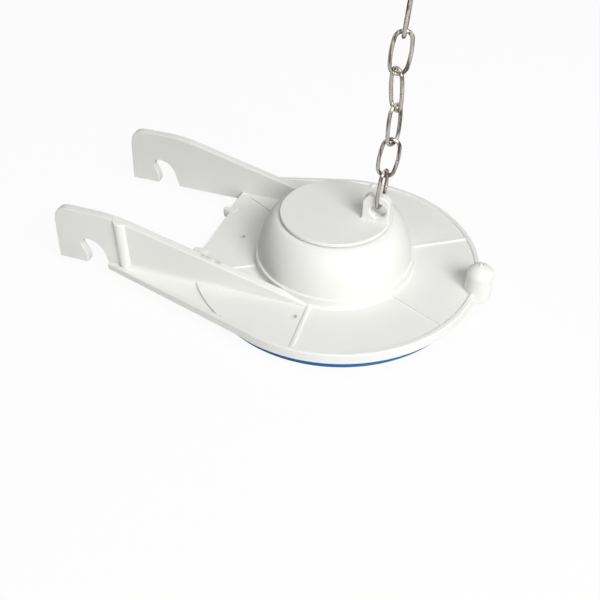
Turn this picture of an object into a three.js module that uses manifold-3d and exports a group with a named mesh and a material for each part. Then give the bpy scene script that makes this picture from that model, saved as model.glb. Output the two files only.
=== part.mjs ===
// A toilet flapper: a white moulded frame with a bell and two hook arms, a cap with a chain eye,
// a blue seal ring under the disc, and a wire chain that ends in a clip.
// Millimetres, +Z up. The disc lies level, the arms point along -X and the front knob along +X.
import * as THREE from 'three';
import { mergeVertices } from 'three/addons/utils/BufferGeometryUtils.js';
import Module from 'manifold-3d';

const wasm = await Module();
wasm.setup();

// Disc and rim, with z = 0 at the top of the rim
const RIM_RADIUS = 38;
const RIM_WIDTH = 0.85;
const RIM_HEIGHT = 0.4;
const PLATE_THICKNESS = 2.15;
const RIM_ROUND = 0.2;
const REAR_EDGE = 35.8;
const REAR_STEP = 0.6;
const REAR_NOTCH = 20.6;

// Ribs and moulding marks on the plate
const RIB_WIDTH = 0.8;
const RIB_HEIGHT = 0.4;
const RIB_COUNT = 6;
const MARK_PLACES = [[-28.1, 1], [-3, -25.6]];
const MARK_RADIUS = 0.45;
const MARK_DEPTH = 0.35;

// Bell
const BELL_OFFSET = 0.9;
const BELL_FOOT_RADIUS = 20.7;
const BELL_TOP_RADIUS = 14.7;
const BELL_HEIGHT = 13.4;
const BELL_ROUNDNESS = 1.84;
const BELL_WALL = 1.6;
const BELL_STEP = 0.55;
const BELL_STEP_HEIGHT = 2.6;
const BELL_FLARE = 0.75;
const BELL_FLARE_HEIGHT = 0.8;
const NECK_RADIUS = 12.2;
const NECK_WALL = 1.7;

// Hub under the disc, which carries the seal
const HUB_RADIUS = 24;
const HUB_DEPTH = 3.4;
const BEAD_REACH = 1.2;
const BEAD_HEIGHT = 0.9;

// Seal
const SEAT_GAP = 0.3;
const SEAL_RADIUS = 35.5;
const SEAL_CLEARANCE = 0.8;
const SEAL_DEPTH = 4.05;
const SEAL_CUFF_WIDTH = 2.4;
const SEAL_WEB = 1.1;
const SEAL_LIP_WIDTH = 3.2;

// Cap and chain eye
const CAP_RADIUS = 14.55;
const CAP_EDGE = 0.9;
const CAP_CHAMFER = 0.3;
const SPIGOT_DEPTH = 2.6;
const EYE_WIDTH = 7;
const EYE_HEIGHT = 7.3;
const EYE_THICKNESS = 2.4;
const EYE_ROUND = 2.4;
const EYE_HOLE_RADIUS = 1.95;
const EYE_HOLE_CHAMFER = 0.4;
const EYE_HOLE_FORWARD = 0.6;
const EYE_HOLE_HEIGHT = 3.2;

// Arms and hooks
const ARM_SPACING = 39.8;
const ARM_THICKNESS = 2.2;
const ARM_REACH = 73;
const ARM_TOP = 13.8;
const ARM_SLOPE = 0.262;
const ARM_END = -1.6;
const HOOK_ROUND = 4.2;
const HOOK_DRAFT = 1.2;
const HOOK_LENGTH = 19.2;
const HOOK_TIP_LEAN = 0.4;
const CREST_AHEAD = 3;
const CREST_BEHIND = 5;
const CREST_EASE = 0.2;
const ARM_DROP = 0.5;
const SLOT_MOUTH = 7;
const SLOT_CENTRE = 12.3;
const SLOT_HEIGHT = 8.1;
const SLOT_NOSE = 0.9;
const SLOT_NOSE_HEIGHT = 3.8;
const SLOT_FLARE = 0.3;
const SLOT_POCKET = 1.1;
const SLOT_POCKET_ROUND = 2.6;
const SLOT_ROOF = 1.6;
const SLOT_ROOF_FALL = 0.6;
const SLOT_BACK_HEIGHT = 3.4;
const RAMP_HALF_LENGTH = 2.2;
const RAMP_ANGLE = 28;
const RAMP_PLACE = 0.6;
const RAMP_REST = 0.25;
const PILLAR_BEHIND_SLOT = 8.2;
const PILLAR_RADIUS = 1.9;
const PILLAR_PROUD = 1.1;
const LEDGE_THICKNESS = 1.65;
const LEDGE_START_WIDTH = 0.7;
const LEDGE_END_WIDTH = 11;
const LEDGE_END = 20.5;
const LEDGE_BLEND = 1.7;
const LEDGE_INSIDE = 5;
const LEDGE_SHORT = 0.4;

// Stubs on the rear edge and the knob at the front
const STUB_SPACING = 20.4;
const STUB_RADIUS = 0.9;
const STUB_REACH = 2.2;
const STUB_HEIGHT = 2.6;
const KNOB_RADIUS = 2.95;
const KNOB_OVERHANG = 0.7;
const KNOB_HEIGHT = 6.8;
const KNOB_DEPTH = 3;
const KNOB_EDGE = 0.3;
const KNOB_CROWN = 0.85;
const DIMPLE_RADIUS = 0.5;
const DIMPLE_DEPTH = 0.4;

// Chain
const WIRE = 1.0;
const LINK_LENGTH = 11.2;
const LINK_WIDTH = 5.2;
const BUTT_GAP = 0.1;
const CHAIN_GAP = 0.25;
const EYE_GAP = 0.7;
// Each link leans along X and Y for each millimetre of rise, and turns about its own length.
const LINK_POSES = [
  { leanX: 0.06, leanY: 0.06, turn: 80 },
  { leanX: 0.135, leanY: 0.035, turn: 6 },
  { leanX: 0.015, leanY: 0.015, turn: 67 },
  { leanX: -0.035, leanY: -0.005, turn: 318 },
  { leanX: 0.095, leanY: -0.015, turn: 21 },
  { leanX: 0.08, leanY: 0.06, turn: 278 },
];

// Clip at the chain's free end
const CLIP_WIRE = 1.3;
const CLIP_LENGTH = 16;
const CLIP_EYE_RADIUS = 2.1;
const CLIP_HOOK_RADIUS = 3.2;
const CLIP_MOUTH = 3.2;
const CLIP_TURN = 90;
const CLIP_EYE_START = 130;
const CLIP_EYE_SWEEP = 294;
const CLIP_NECK = 0.6;
const CLIP_CRANK = 2;
const CLIP_SHOULDER = 1;

// Facets of the round shapes
const DISC_SEGMENTS = 72;
const BELL_SEGMENTS = 56;
const PILLAR_SEGMENTS = 24;
const CURVE_STEPS = 6;
const LINK_STEPS = 26;
const CLIP_STEPS = 44;

// Levels and places that follow from the sizes above
const PLATE_TOP = -RIM_HEIGHT;
const PLATE_BOTTOM = PLATE_TOP - PLATE_THICKNESS;
const BELL_X = -BELL_OFFSET;
const BELL_TOP = BELL_HEIGHT;
const BELL_FOOT = PLATE_TOP + BELL_STEP_HEIGHT;
const ARM_BOTTOM = PLATE_BOTTOM - ARM_DROP;
const HUB_BOTTOM = PLATE_BOTTOM - HUB_DEPTH;
const CAP_BOTTOM = BELL_TOP + SEAT_GAP;
const CAP_TOP = CAP_BOTTOM + CAP_EDGE;
const EYE_X = BELL_X + CAP_RADIUS - CAP_CHAMFER - EYE_WIDTH / 2;
const HOLE_X = EYE_X + EYE_HOLE_FORWARD;
const HOLE_Z = CAP_TOP + EYE_HOLE_HEIGHT;
const ARM_IN = ARM_SPACING / 2;
const ARM_OUT = ARM_IN + ARM_THICKNESS;
const SLOT_X = -ARM_REACH + SLOT_CENTRE;
const PILLAR_X = SLOT_X + PILLAR_BEHIND_SLOT;
const KNOB_X = RIM_RADIUS + KNOB_OVERHANG;

// Finishes
const white = () => new THREE.MeshStandardMaterial({ color: 0xe9e9e4, roughness: 0.45, metalness: 0 });
const blue = () => new THREE.MeshStandardMaterial({ color: 0x2b62a8, roughness: 0.5, metalness: 0 });
const steel = () => new THREE.MeshStandardMaterial({ color: 0xa8a298, roughness: 0.3, metalness: 1 });

// A closed three.js geometry as a solid for booleans
function solid(geometry) {
  geometry.deleteAttribute('normal');
  geometry.deleteAttribute('uv');
  const merged = mergeVertices(geometry, 1e-4);
  const triVerts = new Uint32Array(merged.index.array);
  const vertProperties = new Float32Array(merged.attributes.position.array);
  return new wasm.Manifold(new wasm.Mesh({ numProp: 3, vertProperties, triVerts }));
}

// A solid as a named three.js mesh
function mesh(name, body, material) {
  const data = body.getMesh();
  const geometry = new THREE.BufferGeometry();
  geometry.setAttribute('position', new THREE.BufferAttribute(new Float32Array(data.vertProperties), 3));
  geometry.setIndex(new THREE.BufferAttribute(new Uint32Array(data.triVerts), 1));
  geometry.computeVertexNormals();
  const result = new THREE.Mesh(geometry, material);
  result.name = name;
  return result;
}

// A solid of revolution about the vertical line through (x, y); the profile holds [radius, height] pairs
function turned(profile, segments, x = 0, y = 0) {
  const points = profile.map(([r, z]) => new THREE.Vector2(r, z));
  const geometry = new THREE.LatheGeometry([...points, points[0]], segments);
  geometry.rotateX(Math.PI / 2);
  geometry.translate(x, y, 0);
  return solid(geometry);
}

// A plan outline of [x, y] pairs raised from one level to another
function slab(outline, bottom, top) {
  const shape = new THREE.Shape(outline.map(([x, y]) => new THREE.Vector2(x, y)));
  const geometry = new THREE.ExtrudeGeometry(shape, { depth: top - bottom, bevelEnabled: false });
  geometry.translate(0, 0, bottom);
  return solid(geometry);
}

// A side outline in X and Z, given as a shape, extruded across Y from y0 to y1
function sidePlate(shape, y0, y1, curveSegments = 8) {
  const geometry = new THREE.ExtrudeGeometry(shape, { depth: y1 - y0, bevelEnabled: false, curveSegments });
  geometry.rotateX(Math.PI / 2);
  geometry.translate(0, y1, 0);
  return solid(geometry);
}

function box(x0, x1, y0, y1, z0, z1) {
  return slab([[x0, y0], [x1, y0], [x1, y1], [x0, y1]], z0, z1);
}

function joined(bodies) {
  return bodies.reduce((sum, body) => sum.add(body));
}

// Outer radius of the bell's wall at a height, less an inset
function bellRadius(z, inset) {
  const foot = BELL_FOOT_RADIUS - inset;
  const top = BELL_TOP_RADIUS - inset;
  const u = Math.min(1, Math.max(0, (z - PLATE_TOP) / (BELL_TOP - inset - PLATE_TOP)));
  return top + (foot - top) * Math.pow(1 - Math.pow(u, BELL_ROUNDNESS), 1 / BELL_ROUNDNESS);
}

// Points of the bell's wall between two heights, closer together where it turns inwards
function bellCurve(from, to, inset, count) {
  const points = [];
  for (let i = 0; i <= count; i += 1) {
    const z = from + (to - from) * Math.sin((i / count) * Math.PI / 2);
    points.push([bellRadius(z, inset), z]);
  }
  return points;
}

// Disc with its raised rim, and the low collar behind it that stands on the ledges
function disc() {
  const r = RIM_RADIUS;
  const far = r + 2;
  const body = turned([
    [0, PLATE_BOTTOM], [r - RIM_ROUND, PLATE_BOTTOM], [r, PLATE_BOTTOM + RIM_ROUND],
    [r, -RIM_ROUND / 2], [r - RIM_ROUND / 2, 0], [r - RIM_WIDTH, 0],
    [r - RIM_WIDTH, PLATE_TOP], [0, PLATE_TOP],
  ], DISC_SEGMENTS);
  const collar = turned([
    [0, PLATE_BOTTOM], [r, PLATE_BOTTOM], [r, PLATE_TOP], [0, PLATE_TOP],
  ], DISC_SEGMENTS, BELL_X);
  const behindLedges = box(-far, -LEDGE_END, -far, far, PLATE_BOTTOM, PLATE_TOP);
  const behind = box(-far, -REAR_EDGE, -ARM_IN, ARM_IN, PLATE_BOTTOM - 1, 1);
  const openRim = box(-far, -REAR_EDGE / 2, -ARM_IN, ARM_IN, PLATE_TOP, 1);
  return body.add(collar.intersect(behindLedges)).subtract(behind).subtract(openRim);
}

// Plate between the arms, with its straight rear edge and the shoulders beside the stubs
function rearPlate() {
  const shoulder = REAR_EDGE + REAR_STEP;
  const y = REAR_NOTCH / 2;
  const side = ARM_IN + ARM_THICKNESS / 2;
  return slab([
    [-REAR_EDGE / 2, -side], [-REAR_EDGE / 2, side], [-shoulder, side], [-shoulder, y + REAR_STEP],
    [-REAR_EDGE, y], [-REAR_EDGE, -y], [-shoulder, -y - REAR_STEP], [-shoulder, -side],
  ], PLATE_BOTTOM, PLATE_TOP);
}

// Low ribs spread evenly around the bell, from its foot to the rim
function ribs() {
  const start = BELL_FOOT_RADIUS - BELL_WALL / 2;
  const end = RIM_RADIUS + 2;
  const all = [];
  for (let i = 0; i < RIB_COUNT; i += 1) {
    const angle = (i + 0.5) * 360 / RIB_COUNT;
    const rib = box(start, end, -RIB_WIDTH / 2, RIB_WIDTH / 2, PLATE_TOP - 0.5, PLATE_TOP + RIB_HEIGHT);
    all.push(rib.rotate([0, 0, angle]).translate([BELL_X, 0, 0]));
  }
  const room = RIM_RADIUS - RIM_WIDTH / 2;
  const inside = turned([[0, PLATE_TOP - 1], [room, PLATE_TOP - 1], [room, 1], [0, 1]], DISC_SEGMENTS);
  const ahead = box(-REAR_EDGE + 0.5, RIM_RADIUS, -RIM_RADIUS, RIM_RADIUS, PLATE_TOP - 1, 1);
  return joined(all).intersect(inside).intersect(ahead);
}

// Bell: flared foot, small step, domed wall
function bell() {
  const step = BELL_FOOT_RADIUS + BELL_STEP;
  const flare = [];
  for (let i = 0; i <= 4; i += 1) {
    const a = (i / 4) * Math.PI / 2;
    flare.push([
      step + BELL_FLARE * (1 - Math.sin(a)),
      PLATE_TOP + BELL_FLARE_HEIGHT * (1 - Math.cos(a)),
    ]);
  }
  return turned([
    [0, PLATE_TOP - 0.5], [step + BELL_FLARE, PLATE_TOP - 0.5], ...flare,
    [step, BELL_FOOT - 0.15], [step - 0.15, BELL_FOOT],
    ...bellCurve(BELL_FOOT, BELL_TOP, 0, 9), [0, BELL_TOP],
  ], BELL_SEGMENTS, BELL_X);
}

// Air space inside the bell, open below, with the neck that the cap closes
function bellSpace() {
  const roof = BELL_TOP - NECK_WALL;
  return turned([
    [0, HUB_BOTTOM - 1], [BELL_FOOT_RADIUS - BELL_WALL, HUB_BOTTOM - 1],
    ...bellCurve(PLATE_TOP, roof, BELL_WALL, 7),
    [NECK_RADIUS, roof], [NECK_RADIUS, BELL_TOP + 1], [0, BELL_TOP + 1],
  ], BELL_SEGMENTS, BELL_X);
}

// Hub with the bead that holds the seal
function hub() {
  const bead = HUB_RADIUS + BEAD_REACH;
  return turned([
    [0, HUB_BOTTOM], [HUB_RADIUS + BEAD_REACH / 2, HUB_BOTTOM],
    [bead, HUB_BOTTOM + BEAD_HEIGHT / 3], [bead, HUB_BOTTOM + BEAD_HEIGHT * 2 / 3],
    [HUB_RADIUS, HUB_BOTTOM + BEAD_HEIGHT], [HUB_RADIUS, PLATE_BOTTOM + 0.5], [0, PLATE_BOTTOM + 0.5],
  ], BELL_SEGMENTS);
}

// Side outline of an arm with its hook
function armShape() {
  const shape = new THREE.Shape();
  const crest = -ARM_REACH + HOOK_LENGTH;
  shape.moveTo(-ARM_REACH, ARM_BOTTOM);
  shape.lineTo(ARM_END, ARM_BOTTOM);
  shape.lineTo(ARM_END, ARM_TOP - ARM_SLOPE * (ARM_END - crest));
  shape.lineTo(crest + CREST_AHEAD, ARM_TOP - ARM_SLOPE * CREST_AHEAD - CREST_EASE * 1.5);
  shape.quadraticCurveTo(crest, ARM_TOP - CREST_EASE, crest - CREST_BEHIND, ARM_TOP);
  shape.lineTo(-ARM_REACH + HOOK_DRAFT + HOOK_ROUND, ARM_TOP);
  const corner = -ARM_REACH + HOOK_DRAFT;
  shape.quadraticCurveTo(corner, ARM_TOP, corner - HOOK_TIP_LEAN, ARM_TOP - HOOK_ROUND * 1.2);
  shape.closePath();
  return shape;
}

// Peg slot, open downwards, with its nose at the mouth
function slotShape() {
  const left = SLOT_X - SLOT_MOUTH / 2;
  const right = SLOT_X + SLOT_MOUTH / 2;
  const top = ARM_BOTTOM + SLOT_HEIGHT;
  const nose = ARM_BOTTOM + SLOT_NOSE_HEIGHT;
  const shape = new THREE.Shape();
  shape.moveTo(left - 2 * SLOT_FLARE, ARM_BOTTOM - 1);
  shape.lineTo(left - SLOT_FLARE, ARM_BOTTOM);
  shape.quadraticCurveTo(
    left + SLOT_NOSE, ARM_BOTTOM + SLOT_NOSE_HEIGHT * 0.42, left - SLOT_FLARE * 2 / 3, nose);
  shape.lineTo(left - SLOT_POCKET, top - SLOT_POCKET_ROUND);
  shape.quadraticCurveTo(left - SLOT_POCKET * 1.2, top, left + SLOT_ROOF, top);
  shape.quadraticCurveTo(
    right - SLOT_ROOF, top - SLOT_ROOF_FALL, right - 3 * SLOT_FLARE, ARM_BOTTOM + SLOT_BACK_HEIGHT);
  shape.lineTo(right, ARM_BOTTOM);
  shape.lineTo(right + SLOT_FLARE, ARM_BOTTOM - 1);
  shape.closePath();
  return shape;
}

// Lead-in ramp on the outer face of the hook's prong, beside the slot
function slotRamp(side) {
  const left = SLOT_X - SLOT_MOUTH / 2;
  const half = RAMP_HALF_LENGTH;
  const cutter = box(-half, half, -1, 1, ARM_BOTTOM - 1, ARM_BOTTOM + SLOT_HEIGHT - SLOT_POCKET_ROUND);
  const out = ARM_OUT + 1 - RAMP_REST;
  return cutter.rotate([0, 0, -side * RAMP_ANGLE]).translate([left + RAMP_PLACE, side * out, 0]);
}

// One arm: web, hook, pillar, ledge and the blend between web and ledge
function arm(side) {
  const span = (a, b) => [Math.min(side * a, side * b), Math.max(side * a, side * b)];
  const web = sidePlate(armShape(), ...span(ARM_IN, ARM_OUT), CURVE_STEPS);
  const envelope = sidePlate(armShape(), ...span(ARM_IN, ARM_OUT + 2 * PILLAR_PROUD), CURVE_STEPS);
  const column = turned([
    [0, ARM_BOTTOM], [PILLAR_RADIUS, ARM_BOTTOM], [PILLAR_RADIUS, ARM_TOP + 1], [0, ARM_TOP + 1],
  ], PILLAR_SEGMENTS, PILLAR_X, side * (ARM_OUT + PILLAR_PROUD - PILLAR_RADIUS));
  const meet = -LEDGE_END + LEDGE_INSIDE;
  const ledge = slab([
    [SLOT_X + SLOT_MOUTH / 2, side * (ARM_OUT - 0.5)],
    [SLOT_X + SLOT_MOUTH / 2, side * (ARM_OUT + LEDGE_START_WIDTH)],
    [-LEDGE_END, side * (ARM_OUT + LEDGE_END_WIDTH)],
    [meet, side * (Math.sqrt(RIM_RADIUS ** 2 - meet ** 2) - LEDGE_SHORT)],
    [meet, side * (ARM_OUT - 0.5)],
  ], ARM_BOTTOM, ARM_BOTTOM + LEDGE_THICKNESS);
  return joined([web, column.intersect(envelope), ledge, blend(side)]);
}

// Room for the seal under the disc, kept clear of the arms and their ledges
function sealRoom() {
  const r = SEAL_RADIUS + SEAL_CLEARANCE;
  return turned([
    [0, ARM_BOTTOM - 1], [r, ARM_BOTTOM - 1], [r, PLATE_BOTTOM], [0, PLATE_BOTTOM],
  ], DISC_SEGMENTS);
}

// Concave blend along the foot of the web
function blend(side) {
  const low = ARM_BOTTOM + LEDGE_THICKNESS;
  const outline = [[ARM_OUT - 0.3, low - 0.3], [ARM_OUT + LEDGE_BLEND, low - 0.3]];
  for (let i = 0; i <= 4; i += 1) {
    const a = (i / 4) * Math.PI / 2;
    outline.push([ARM_OUT + LEDGE_BLEND * (1 - Math.sin(a)), low + LEDGE_BLEND * (1 - Math.cos(a))]);
  }
  outline.push([ARM_OUT - 0.3, low + LEDGE_BLEND]);
  const shape = new THREE.Shape(outline.map(([y, z]) => new THREE.Vector2(y, z)));
  const start = PILLAR_X + PILLAR_RADIUS;
  const geometry = new THREE.ExtrudeGeometry(shape, { depth: -LEDGE_END - start, bevelEnabled: false });
  const place = new THREE.Matrix4().makeBasis(
    new THREE.Vector3(0, 1, 0), new THREE.Vector3(0, 0, 1), new THREE.Vector3(1, 0, 0));
  geometry.applyMatrix4(place);
  geometry.translate(start, 0, 0);
  const body = solid(geometry);
  return side > 0 ? body : body.mirror([0, 1, 0]);
}

// Small round-ended stubs on the rear edge
function stubs() {
  const top = PLATE_BOTTOM + STUB_HEIGHT;
  return joined([-1, 1].map((side) => {
    const y = side * STUB_SPACING / 2;
    const end = -REAR_EDGE - STUB_REACH + STUB_RADIUS;
    const profile = [[0, PLATE_BOTTOM], [STUB_RADIUS, PLATE_BOTTOM], [STUB_RADIUS, top], [0, top]];
    const neck = box(end, -REAR_EDGE + 1, y - STUB_RADIUS, y + STUB_RADIUS, PLATE_BOTTOM, top);
    return turned(profile, 16, end, y).add(neck);
  }));
}

// Knob on the front of the rim, with its dimple
function knob() {
  const foot = -KNOB_DEPTH;
  const profile = [[0, foot], [KNOB_RADIUS - KNOB_EDGE, foot], [KNOB_RADIUS, foot + KNOB_EDGE]];
  const shoulder = KNOB_HEIGHT - KNOB_RADIUS * KNOB_CROWN;
  for (let i = 0; i <= 5; i += 1) {
    const a = (i / 6) * Math.PI / 2;
    profile.push([KNOB_RADIUS * Math.cos(a), shoulder + (KNOB_HEIGHT - shoulder) * Math.sin(a)]);
  }
  const dimple = KNOB_HEIGHT - DIMPLE_DEPTH;
  profile.push([DIMPLE_RADIUS, KNOB_HEIGHT], [DIMPLE_RADIUS, dimple], [0, dimple]);
  return turned(profile, 32, KNOB_X);
}

// Two small round moulding marks sunk in the plate
function marks() {
  return joined(MARK_PLACES.map(([x, y]) => turned([
    [0, PLATE_TOP - MARK_DEPTH], [MARK_RADIUS, PLATE_TOP - MARK_DEPTH],
    [MARK_RADIUS, PLATE_TOP + 0.5], [0, PLATE_TOP + 0.5],
  ], 12, x, y)));
}

// The whole frame moulding
function frame() {
  const slots = sidePlate(slotShape(), -ARM_OUT - 3, ARM_OUT + 3, CURVE_STEPS);
  const arms = arm(-1).add(arm(1)).subtract(sealRoom());
  const body = joined([disc(), rearPlate(), ribs(), bell(), hub(), arms, stubs(), knob()]);
  const cuts = joined([bellSpace(), slots, slotRamp(-1), slotRamp(1), marks()]);
  return body.subtract(cuts);
}

// Seal ring: cuff in the hub's groove, thin web, thick outer lip with a flat foot
function seal() {
  const bore = HUB_RADIUS + SEAT_GAP;
  const top = PLATE_BOTTOM - SEAT_GAP;
  const foot = PLATE_BOTTOM - SEAL_DEPTH;
  const cuffFoot = HUB_BOTTOM + BEAD_HEIGHT + SEAT_GAP;
  const lip = SEAL_RADIUS - SEAL_LIP_WIDTH;
  return turned([
    [bore, cuffFoot], [bore + SEAL_CUFF_WIDTH, cuffFoot], [bore + SEAL_CUFF_WIDTH + 0.4, top - SEAL_WEB],
    [lip - 0.6, top - SEAL_WEB], [lip, foot], [SEAL_RADIUS - 0.35, foot], [SEAL_RADIUS, foot + 0.35],
    [SEAL_RADIUS, top - 0.5], [SEAL_RADIUS - 0.5, top], [bore, top],
  ], BELL_SEGMENTS);
}

// Chain eye: an upright plate with round top corners and a countersunk hole along Y
function chainEye() {
  const left = EYE_X - EYE_WIDTH / 2;
  const right = EYE_X + EYE_WIDTH / 2;
  const top = CAP_TOP + EYE_HEIGHT;
  const half = EYE_THICKNESS / 2;
  const shape = new THREE.Shape();
  shape.moveTo(left - 0.5, CAP_TOP - 0.4);
  shape.lineTo(right, CAP_TOP - 0.4);
  shape.lineTo(right, top - EYE_ROUND);
  shape.absarc(right - EYE_ROUND, top - EYE_ROUND, EYE_ROUND, 0, Math.PI / 2, false);
  shape.absarc(left + EYE_ROUND, top - EYE_ROUND, EYE_ROUND, Math.PI / 2, Math.PI, false);
  shape.quadraticCurveTo(left, CAP_TOP + 0.6, left - 0.5, CAP_TOP - 0.4);
  const wide = EYE_HOLE_RADIUS + EYE_HOLE_CHAMFER;
  const hole = turned([
    [0, -half - 0.1], [wide + 0.1, -half - 0.1], [EYE_HOLE_RADIUS, -half + EYE_HOLE_CHAMFER],
    [EYE_HOLE_RADIUS, half - EYE_HOLE_CHAMFER], [wide + 0.1, half + 0.1], [0, half + 0.1],
  ], 32);
  const cutter = hole.rotate([90, 0, 0]).translate([HOLE_X, 0, HOLE_Z]);
  return sidePlate(shape, -half, half, CURVE_STEPS).subtract(cutter);
}

// Cap: disc with a chamfered edge, spigot for the bell's neck, chain eye
function cap() {
  const r = CAP_RADIUS;
  const spigot = NECK_RADIUS - SEAT_GAP;
  const body = turned([
    [0, CAP_BOTTOM - SPIGOT_DEPTH], [spigot - 0.4, CAP_BOTTOM - SPIGOT_DEPTH],
    [spigot, CAP_BOTTOM - SPIGOT_DEPTH + 0.4], [spigot, CAP_BOTTOM], [r, CAP_BOTTOM],
    [r, CAP_TOP - CAP_CHAMFER], [r - CAP_CHAMFER, CAP_TOP], [0, CAP_TOP],
  ], BELL_SEGMENTS, BELL_X);
  return body.add(chainEye());
}

// Centreline of a chain link in its own plane, open at the butt joint half way up one leg
class LinkPath extends THREE.Curve {
  constructor(length, width, gap) {
    super();
    this.radius = width / 2;
    this.leg = length - width;
    this.gap = gap;
  }

  getPoint(t) {
    const arc = Math.PI * this.radius;
    const total = 2 * (this.leg + arc);
    let s = this.gap / 2 + t * (total - this.gap);
    const half = this.leg / 2;
    if (s <= half) return new THREE.Vector3(this.radius, s, 0);
    s -= half;
    if (s <= arc) {
      const a = s / this.radius;
      return new THREE.Vector3(this.radius * Math.cos(a), half + this.radius * Math.sin(a), 0);
    }
    s -= arc;
    if (s <= this.leg) return new THREE.Vector3(-this.radius, half - s, 0);
    s -= this.leg;
    if (s <= arc) {
      const a = Math.PI + s / this.radius;
      return new THREE.Vector3(this.radius * Math.cos(a), -half + this.radius * Math.sin(a), 0);
    }
    s -= arc;
    return new THREE.Vector3(this.radius, -half + s, 0);
  }
}

// Round wire along a path
function wire(path, diameter, steps) {
  const section = new THREE.Shape();
  section.absarc(0, 0, diameter / 2, 0, Math.PI * 2, false);
  return new THREE.ExtrudeGeometry(section, { steps, curveSegments: 8, extrudePath: path });
}

// Places a flat wire shape: its own X runs along the turned width, its own Y along the lean
function pose(turn, leanX, leanY) {
  const up = new THREE.Vector3(leanX, leanY, 1).normalize();
  const a = THREE.MathUtils.degToRad(turn);
  const across = new THREE.Vector3(Math.cos(a), Math.sin(a), 0);
  across.addScaledVector(up, -across.dot(up)).normalize();
  const normal = new THREE.Vector3().crossVectors(across, up);
  return { up, across, matrix: new THREE.Matrix4().makeBasis(across, up, normal) };
}

// The chain, link by link: each hangs in the one below it, a wire and a gap under its top bend
function chain() {
  const links = [];
  const centre = LINK_LENGTH - WIRE;
  const low = new THREE.Vector3(HOLE_X, 0, HOLE_Z + EYE_HOLE_RADIUS - WIRE / 2 - EYE_GAP);
  LINK_POSES.forEach((entry, index) => {
    const { up, matrix } = pose(entry.turn, entry.leanX, entry.leanY);
    const path = new LinkPath(centre, LINK_WIDTH - WIRE, BUTT_GAP);
    const geometry = wire(path, WIRE, LINK_STEPS);
    geometry.applyMatrix4(matrix);
    geometry.translate(...low.clone().addScaledVector(up, centre / 2).toArray());
    const link = new THREE.Mesh(geometry, steel());
    link.name = `chain_link_${index + 1}`;
    links.push(link);
    low.addScaledVector(up, centre - WIRE - CHAIN_GAP);
  });
  return { links, low };
}

// Clip: a wound eye below, a cranked shank and an open hook above, all in one plane
function clip(low) {
  const last = LINK_POSES[LINK_POSES.length - 1];
  const { up, matrix } = pose(last.turn + CLIP_TURN, last.leanX, last.leanY);
  const r = CLIP_EYE_RADIUS;
  const h = CLIP_HOOK_RADIUS;
  const top = CLIP_LENGTH - CLIP_WIRE - h;
  const neck = 2 * r + CLIP_WIRE + CLIP_NECK;
  const points = [];
  for (let i = 0; i <= 12; i += 1) {
    const a = THREE.MathUtils.degToRad(CLIP_EYE_START + (i / 12) * CLIP_EYE_SWEEP);
    points.push(new THREE.Vector3(r * Math.cos(a), r + r * Math.sin(a), 0));
  }
  points.push(new THREE.Vector3(h / 8, neck, 0));
  points.push(new THREE.Vector3(-h * 0.6, neck + CLIP_CRANK, 0));
  points.push(new THREE.Vector3(-h, top - CLIP_SHOULDER, 0));
  for (let i = 0; i <= 6; i += 1) {
    const a = Math.PI - (i / 6) * Math.PI;
    points.push(new THREE.Vector3(h * Math.cos(a), top + h * Math.sin(a), 0));
  }
  points.push(new THREE.Vector3(h, top - CLIP_MOUTH, 0));
  const geometry = wire(new THREE.CatmullRomCurve3(points, false, 'centripetal'), CLIP_WIRE, CLIP_STEPS);
  geometry.applyMatrix4(matrix);
  geometry.translate(...low.clone().addScaledVector(up, (WIRE - CLIP_WIRE) / 2).toArray());
  const body = new THREE.Mesh(geometry, steel());
  body.name = 'chain_clip';
  return body;
}

// Assembly, standing with the seal's foot on z = 0 and its box centred on the origin
const assembly = new THREE.Group();
const frameMesh = mesh('frame', frame(), white());
const { links, low } = chain();
assembly.add(frameMesh, mesh('dome_cap', cap(), white()), mesh('seal', seal(), blue()));
assembly.add(...links, clip(low));
const rearTip = -ARM_REACH;
const frontTip = KNOB_X + KNOB_RADIUS;
assembly.position.set(-(rearTip + frontTip) / 2, 0, SEAL_DEPTH - PLATE_BOTTOM);

const group = new THREE.Group();
group.add(assembly);

export default group;
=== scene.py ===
"""Toilet flapper in white moulded plastic, with a blue seal ring and a bright wire chain.

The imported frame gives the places. Shapes are built in millimetres from the top of the disc's rim,
with the arms along -X and the front knob along +X, and are then moved into the frame in metres.
"""
import logging
import math
from dataclasses import dataclass, field
from enum import Enum
from typing import Any, Callable

import bmesh
import bpy
from mathutils import Matrix, Vector


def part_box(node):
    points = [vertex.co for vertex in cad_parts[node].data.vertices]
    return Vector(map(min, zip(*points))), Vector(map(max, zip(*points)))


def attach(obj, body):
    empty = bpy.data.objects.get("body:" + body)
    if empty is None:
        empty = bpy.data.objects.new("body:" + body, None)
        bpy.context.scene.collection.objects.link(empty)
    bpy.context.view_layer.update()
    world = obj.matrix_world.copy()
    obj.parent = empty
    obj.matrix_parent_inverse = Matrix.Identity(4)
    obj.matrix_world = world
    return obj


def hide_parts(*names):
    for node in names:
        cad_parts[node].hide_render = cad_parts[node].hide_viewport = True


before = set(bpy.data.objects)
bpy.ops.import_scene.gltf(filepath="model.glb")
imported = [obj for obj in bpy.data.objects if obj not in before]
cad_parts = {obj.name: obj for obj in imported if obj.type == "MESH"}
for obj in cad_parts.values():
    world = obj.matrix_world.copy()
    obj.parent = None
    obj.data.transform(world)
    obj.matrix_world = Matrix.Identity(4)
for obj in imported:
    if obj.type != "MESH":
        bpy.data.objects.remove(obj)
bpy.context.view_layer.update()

log = logging.getLogger("flapper")

MM = 0.001
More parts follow.
